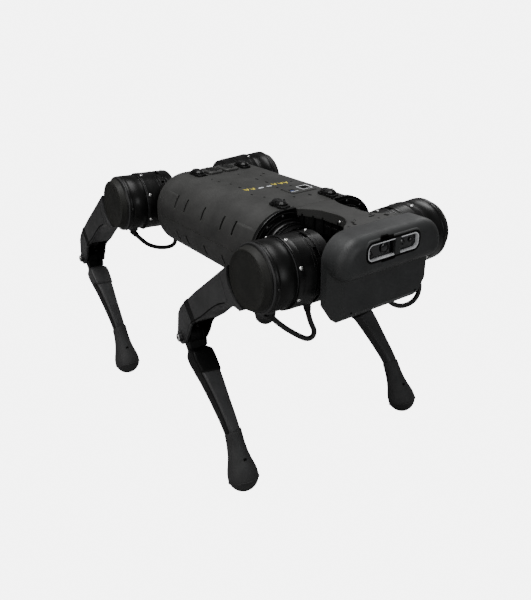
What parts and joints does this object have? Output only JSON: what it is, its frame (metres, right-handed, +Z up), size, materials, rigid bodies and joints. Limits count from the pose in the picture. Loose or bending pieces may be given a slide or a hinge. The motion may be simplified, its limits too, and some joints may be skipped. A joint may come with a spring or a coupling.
{
  "type": "quadruped robot",
  "caption": "Standing quadruped walking robot with a rounded trunk, a camera head on a short neck and motor-driven legs with pushrod knees.",
  "frame": {"origin": "bottom centre of the bounding box: on the ground under the middle of the standing robot", "axes": "+X towards the head, +Y to the robot's left, +Z up"},
  "size_m": [0.6108, 0.3346, 0.3584],
  "materials": {
    "shell_plastic": "fine textured matte charcoal",
    "leg_plastic": "smooth matte charcoal",
    "cast_black": "black anodised",
    "motor_black": "satin black anodised",
    "chassis_metal": "black anodised",
    "steel_dark": "blackened steel",
    "camera_body": "satin black",
    "camera_rim": "bright chamfered",
    "camera_window": "dark glossy",
    "rubber_black": "matte",
    "foot_rubber": "matte charcoal",
    "button_plastic": "satin",
    "cable_braid": "woven sleeve"
  },
  "bodies": {
    "trunk": {"top_shell": "shell_plastic", "bottom_shell": "shell_plastic", "chassis_frame": "chassis_metal", "front_bulkhead": "chassis_metal", "rear_bulkhead": "chassis_metal", "front_roll_motors": "motor_black", "rear_roll_motors": "motor_black", "neck_bridge": "shell_plastic", "head_bracket": "chassis_metal", "face_shield": "shell_plastic", "camera_module": "camera_body", "camera_bezel": "camera_rim", "camera_glass": "camera_window", "payload_blocks": "shell_plastic", "main_computer": "chassis_metal", "io_panel": "shell_plastic", "port_covers": "shell_plastic", "belly_pads": "rubber_black"},
    "battery": {"battery_pack": "shell_plastic"},
    "button": {"power_button": "button_plastic"},
    "shoulder_front_right": {"shoulder_housing_front_right": "cast_black", "thigh_motor_front_right": "motor_black", "leg_cable_front_right": "cable_braid"},
    "thigh_front_right": {"thigh_frame_front_right": "leg_plastic", "knee_motor_front_right": "motor_black", "knee_pin_front_right": "steel_dark"},
    "calf_front_right": {"calf_tube_front_right": "leg_plastic", "foot_boot_front_right": "foot_rubber"},
    "crank_front_right": {"knee_crank_front_right": "steel_dark"},
    "rod_front_right": {"push_rod_front_right": "steel_dark"},
    "shoulder_front_left": {"shoulder_housing_front_left": "cast_black", "thigh_motor_front_left": "motor_black", "leg_cable_front_left": "cable_braid"},
    "thigh_front_left": {"thigh_frame_front_left": "leg_plastic", "knee_motor_front_left": "motor_black", "knee_pin_front_left": "steel_dark"},
    "calf_front_left": {"calf_tube_front_left": "leg_plastic", "foot_boot_front_left": "foot_rubber"},
    "crank_front_left": {"knee_crank_front_left": "steel_dark"},
    "rod_front_left": {"push_rod_front_left": "steel_dark"},
    "shoulder_rear_right": {"shoulder_housing_rear_right": "cast_black", "thigh_motor_rear_right": "motor_black", "leg_cable_rear_right": "cable_braid"},
    "thigh_rear_right": {"thigh_frame_rear_right": "leg_plastic", "knee_motor_rear_right": "motor_black", "knee_pin_rear_right": "steel_dark"},
    "calf_rear_right": {"calf_tube_rear_right": "leg_plastic", "foot_boot_rear_right": "foot_rubber"},
    "crank_rear_right": {"knee_crank_rear_right": "steel_dark"},
    "rod_rear_right": {"push_rod_rear_right": "steel_dark"},
    "shoulder_rear_left": {"shoulder_housing_rear_left": "cast_black", "thigh_motor_rear_left": "motor_black", "leg_cable_rear_left": "cable_braid"},
    "thigh_rear_left": {"thigh_frame_rear_left": "leg_plastic", "knee_motor_rear_left": "motor_black", "knee_pin_rear_left": "steel_dark"},
    "calf_rear_left": {"calf_tube_rear_left": "leg_plastic", "foot_boot_rear_left": "foot_rubber"},
    "crank_rear_left": {"knee_crank_rear_left": "steel_dark"},
    "rod_rear_left": {"push_rod_rear_left": "steel_dark"}
  },
  "joints": [
    {"name": "hip_roll_front_right", "type": "hinge", "parent": "trunk", "child": "shoulder_front_right", "pos_m": [0.17765, -0.047, 0.30041], "axis": [1, 0, 0], "range_deg": [-42.5, 49.5]},
    {"name": "hip_pitch_front_right", "type": "hinge", "parent": "shoulder_front_right", "child": "thigh_front_right", "pos_m": [0.2234, -0.1019, 0.30376], "axis": [0, 0.9981, -0.061], "range_deg": [-108.5, 191.5], "deforming": ["leg_cable_front_right"]},
    {"name": "knee_front_right", "type": "hinge", "parent": "thigh_front_right", "child": "calf_front_right", "pos_m": [0.07361, -0.13844, 0.17323], "axis": [0, 0.9981, -0.061], "range_deg": [-66.32, 35.58]},
    {"name": "knee_crank_turn_front_right", "type": "hinge", "parent": "thigh_front_right", "child": "crank_front_right", "pos_m": [0.2234, -0.13034, 0.3055], "axis": [0, 0.9981, -0.061], "range_deg": [-66.42, 35.68]},
    {"name": "push_rod_turn_front_right", "type": "hinge", "parent": "crank_front_right", "child": "rod_front_right", "pos_m": [0.21577, -0.1235, 0.31917], "axis": [0, 0.9981, -0.061], "range_deg": [-35.68, 66.42]},
    {"name": "hip_roll_front_left", "type": "hinge", "parent": "trunk", "child": "shoulder_front_left", "pos_m": [0.17765, 0.047, 0.30041], "axis": [1, 0, 0], "range_deg": [-49.5, 42.5]},
    {"name": "hip_pitch_front_left", "type": "hinge", "parent": "shoulder_front_left", "child": "thigh_front_left", "pos_m": [0.2234, 0.1019, 0.30376], "axis": [0, 0.9981, 0.061], "range_deg": [-108.5, 191.5], "deforming": ["leg_cable_front_left"]},
    {"name": "knee_front_left", "type": "hinge", "parent": "thigh_front_left", "child": "calf_front_left", "pos_m": [0.07361, 0.13844, 0.17323], "axis": [0, 0.9981, 0.061], "range_deg": [-66.32, 35.58]},
    {"name": "knee_crank_turn_front_left", "type": "hinge", "parent": "thigh_front_left", "child": "crank_front_left", "pos_m": [0.2234, 0.13034, 0.3055], "axis": [0, 0.9981, 0.061], "range_deg": [-66.42, 35.68]},
    {"name": "push_rod_turn_front_left", "type": "hinge", "parent": "crank_front_left", "child": "rod_front_left", "pos_m": [0.21577, 0.1235, 0.31917], "axis": [0, 0.9981, 0.061], "range_deg": [-35.68, 66.42]},
    {"name": "hip_roll_rear_right", "type": "hinge", "parent": "trunk", "child": "shoulder_rear_right", "pos_m": [-0.09685, -0.047, 0.30041], "axis": [1, 0, 0], "range_deg": [-42.5, 49.5]},
    {"name": "hip_pitch_rear_right", "type": "hinge", "parent": "shoulder_rear_right", "child": "thigh_rear_right", "pos_m": [-0.1426, -0.1019, 0.30376], "axis": [0, 0.9981, -0.061], "range_deg": [-50.2, 191.5], "deforming": ["leg_cable_rear_right"]},
    {"name": "knee_rear_right", "type": "hinge", "parent": "thigh_rear_right", "child": "calf_rear_right", "pos_m": [-0.29239, -0.13844, 0.17323], "axis": [0, 0.9981, -0.061], "range_deg": [-66.32, 35.58]},
    {"name": "knee_crank_turn_rear_right", "type": "hinge", "parent": "thigh_rear_right", "child": "crank_rear_right", "pos_m": [-0.1426, -0.13034, 0.3055], "axis": [0, 0.9981, -0.061], "range_deg": [-66.42, 35.68]},
    {"name": "push_rod_turn_rear_right", "type": "hinge", "parent": "crank_rear_right", "child": "rod_rear_right", "pos_m": [-0.15024, -0.1235, 0.31917], "axis": [0, 0.9981, -0.061], "range_deg": [-35.68, 66.42]},
    {"name": "hip_roll_rear_left", "type": "hinge", "parent": "trunk", "child": "shoulder_rear_left", "pos_m": [-0.09685, 0.047, 0.30041], "axis": [1, 0, 0], "range_deg": [-49.5, 42.5]},
    {"name": "hip_pitch_rear_left", "type": "hinge", "parent": "shoulder_rear_left", "child": "thigh_rear_left", "pos_m": [-0.1426, 0.1019, 0.30376], "axis": [0, 0.9981, 0.061], "range_deg": [-50.2, 191.5], "deforming": ["leg_cable_rear_left"]},
    {"name": "knee_rear_left", "type": "hinge", "parent": "thigh_rear_left", "child": "calf_rear_left", "pos_m": [-0.29239, 0.13844, 0.17323], "axis": [0, 0.9981, 0.061], "range_deg": [-66.32, 35.58]},
    {"name": "knee_crank_turn_rear_left", "type": "hinge", "parent": "thigh_rear_left", "child": "crank_rear_left", "pos_m": [-0.1426, 0.13034, 0.3055], "axis": [0, 0.9981, 0.061], "range_deg": [-66.42, 35.68]},
    {"name": "push_rod_turn_rear_left", "type": "hinge", "parent": "crank_rear_left", "child": "rod_rear_left", "pos_m": [-0.15024, 0.1235, 0.31917], "axis": [0, 0.9981, 0.061], "range_deg": [-35.68, 66.42]},
    {"name": "battery_slide", "type": "slide", "parent": "trunk", "child": "battery", "axis": [0, 1, 0], "range_m": [0, 0.125]},
    {"name": "power_button_press", "type": "slide", "parent": "battery", "child": "button", "axis": [0, 1, 0], "range_m": [-0.0012, 0], "stiffness_N_per_m": 800}
  ],
  "couplings": [
    {"joint": "knee_crank_turn_front_right", "follows": "knee_front_right", "ratio": 1},
    {"joint": "push_rod_turn_front_right", "follows": "knee_front_right", "ratio": -1},
    {"joint": "knee_crank_turn_front_left", "follows": "knee_front_left", "ratio": 1},
    {"joint": "push_rod_turn_front_left", "follows": "knee_front_left", "ratio": -1},
    {"joint": "knee_crank_turn_rear_right", "follows": "knee_rear_right", "ratio": 1},
    {"joint": "push_rod_turn_rear_right", "follows": "knee_rear_right", "ratio": -1},
    {"joint": "knee_crank_turn_rear_left", "follows": "knee_rear_left", "ratio": 1},
    {"joint": "push_rod_turn_rear_left", "follows": "knee_rear_left", "ratio": -1}
  ]
}
